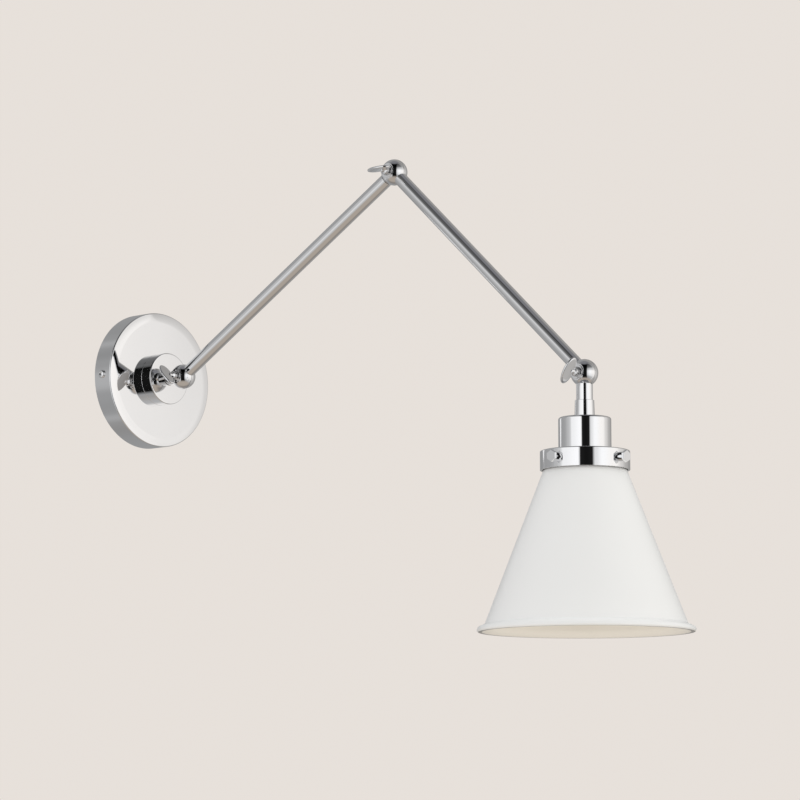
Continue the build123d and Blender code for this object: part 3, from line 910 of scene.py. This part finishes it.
class SCONCE_OT_studio(bpy.types.Operator):
    """Set up the camera, the pale floor and the soft studio light"""

    bl_idname = "sconce.studio"
    bl_label = "Studio"
    bl_options = {"REGISTER", "UNDO"}

    def execute(self, context):
        scene = context.scene
        studio = scene.sconce_studio
        scene.view_settings.view_transform = "Standard"
        self.place_camera(scene, studio)
        self.lay_floor(scene, studio)
        self.light(scene, studio)
        return {"FINISHED"}

    def place_camera(self, scene, studio):
        """A camera without roll, out along its back axis from an aim point given in its own view."""
        turn, lift = studio.azimuth, studio.elevation
        back = np.array([math.sin(turn) * math.cos(lift), -math.cos(turn) * math.cos(lift), math.sin(lift)])
        right = np.array([math.cos(turn), math.sin(turn), 0.0])
        up = np.cross(back, right)
        lens = bpy.data.cameras.new("camera")
        lens.lens = studio.lens
        lens.sensor_width = SENSOR_WIDTH
        camera = bpy.data.objects.new("camera", lens)
        scene.collection.objects.link(camera)
        place = right * studio.aim_right + up * studio.aim_up + back * studio.distance
        axes = np.column_stack([right, up, back])
        camera.matrix_world = Matrix.LocRotScale(place, Matrix(axes.tolist()), None)
        scene.camera = camera

    def lay_floor(self, scene, studio):
        """One pale quad, left out of reflections and of the bounced light."""
        mesh = bpy.data.meshes.new("floor")
        signs = [(-1, -1), (1, -1), (1, 1), (-1, 1)]
        corners = [(x * FLOOR_HALF, y * FLOOR_HALF, studio.floor_level) for x, y in signs]
        mesh.from_pydata(corners, [], [(0, 1, 2, 3)])
        floor = bpy.data.objects.new("floor", mesh)
        scene.collection.objects.link(floor)
        colour = tinted((0.70, 0.655, 0.61), (0.72, 0.675, 0.63), 3.0)
        mesh.materials.append(new_material("floor_finish", colour, 0.0, worn(0.6, 0.05, 40.0)))
        floor.visible_glossy = floor.visible_diffuse = False

    def light(self, scene, studio):
        """Soft studio round the light: bright panels left and right, with a dark gap at the camera.

        Reflections see the panels, matt surfaces see an even fill, and the camera sees the backdrop.
        """
        world = bpy.data.worlds.new("studio")
        world.use_nodes = True
        scene.world = world
        maker = Maker(world.node_tree)
        direction = maker.node("ShaderNodeTexCoord")
        east, north, height = maker.node("ShaderNodeSeparateXYZ", None, {0: direction}, output=None)
        turn = studio.azimuth
        side = east * math.cos(turn) + north * math.sin(turn)
        near = east * math.sin(turn) - north * math.cos(turn)
        mirrored = self.panels(maker, side, near, height)
        fill = maker.mix(side.smooth_between(-0.9, 0.9), FILL_LEFT, FILL_RIGHT)
        fill = maker.mix((0 - height).smooth_between(0.0, 0.5), fill, FILL_BELOW)
        light_path = maker.node("ShaderNodeLightPath", output=None)
        seen_by_camera, matt = light_path[0], light_path[2]
        colour = maker.mix(matt, mirrored, fill)
        colour = maker.mix(seen_by_camera, colour, (*studio.backdrop, 1))
        shader = maker.node("ShaderNodeBackground", None, {"Color": colour, "Strength": 1.0})
        maker.node("ShaderNodeOutputWorld", None, {"Surface": shader})

    def panels(self, maker, side, near, height):
        """Brightness by the angle round from the camera, times a fade by height, between top and ground.

        The angle is the arctangent of the sideways part over the rest of the direction's length.
        """
        upright = (near * near + height * height).power(0.5)
        facing = near.smooth_between(-0.02, 0.02) * 2 - 1
        around = maker.node("ShaderNodeMath", {"operation": "ARCTAN2"}, {0: side, 1: upright * facing})
        stops = []
        for angle, level in PANELS:
            tint = PANEL_WARM if angle > WARM_FROM else PANEL_COOL
            stops.append(((angle + 180) / 360, tuple(level * part for part in tint)))
        panels = maker.ramp(around / (2 * math.pi) + 0.5, stops)
        left, right = (
            maker.ramp((height + 1) / 2, [((level + 1) / 2, (share,) * 3) for level, share in heights])
            for heights in (LEFT_FADE, RIGHT_FADE)
        )
        fade = maker.mix(side.smooth_between(-0.2, 0.2), left, right)
        fade = maker.mix(near.smooth_between(-0.35, 0.25), (1, 1, 1, 1), fade)
        multiply = {"data_type": "RGBA", "blend_type": "MULTIPLY"}
        walls = maker.node("ShaderNodeMix", multiply, {0: 1.0, 6: panels, 7: fade}, output=2)
        with_top = maker.mix(height.smooth_between(0.88, 0.99), walls, TOP)
        ground = maker.mix(near.smooth_between(-0.5, -0.05), GROUND_BEHIND, GROUND_NEAR)
        return maker.mix((0 - height).smooth_between(0.60, 0.86), with_top, ground)


class SCONCE_PT_panel(bpy.types.Panel):
    """Lists the building steps in the 3D view's sidebar"""

    bl_idname = "SCONCE_PT_panel"
    bl_label = "Swing arm sconce"
    bl_space_type = "VIEW_3D"
    bl_region_type = "UI"
    bl_category = "Sconce"

    def draw(self, context):
        for step in STEPS:
            self.layout.operator(step.bl_idname)
        for group in (context.scene.sconce_sizes, context.scene.sconce_finishes, context.scene.sconce_studio):
            for name in group.__annotations__:
                self.layout.prop(group, name)


STEPS = (
    SCONCE_OT_finishes, SCONCE_OT_wall_plate, SCONCE_OT_swivel_boss, SCONCE_OT_arm_tubes,
    SCONCE_OT_thumb_screws, SCONCE_OT_fitter, SCONCE_OT_shade, SCONCE_OT_studio,
)
GROUPS = {"sconce_sizes": SconceSizes, "sconce_finishes": SconceFinishes, "sconce_studio": SconceStudio}


def register():
    """Register the classes and hang the property groups on the scene."""
    for group in (*GROUPS.values(), *STEPS, SCONCE_PT_panel):
        bpy.utils.register_class(group)
    for name, group in GROUPS.items():
        setattr(bpy.types.Scene, name, PointerProperty(type=group))


def unregister():
    """Undo register."""
    for name in GROUPS:
        delattr(bpy.types.Scene, name)
    for group in (SCONCE_PT_panel, *reversed(STEPS), *reversed(GROUPS.values())):
        bpy.utils.unregister_class(group)


def main():
    """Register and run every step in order."""
    register()
    for step in STEPS:
        group, name = step.bl_idname.split(".")
        getattr(getattr(bpy.ops, group), name)()


if __name__ == "__main__":
    main()
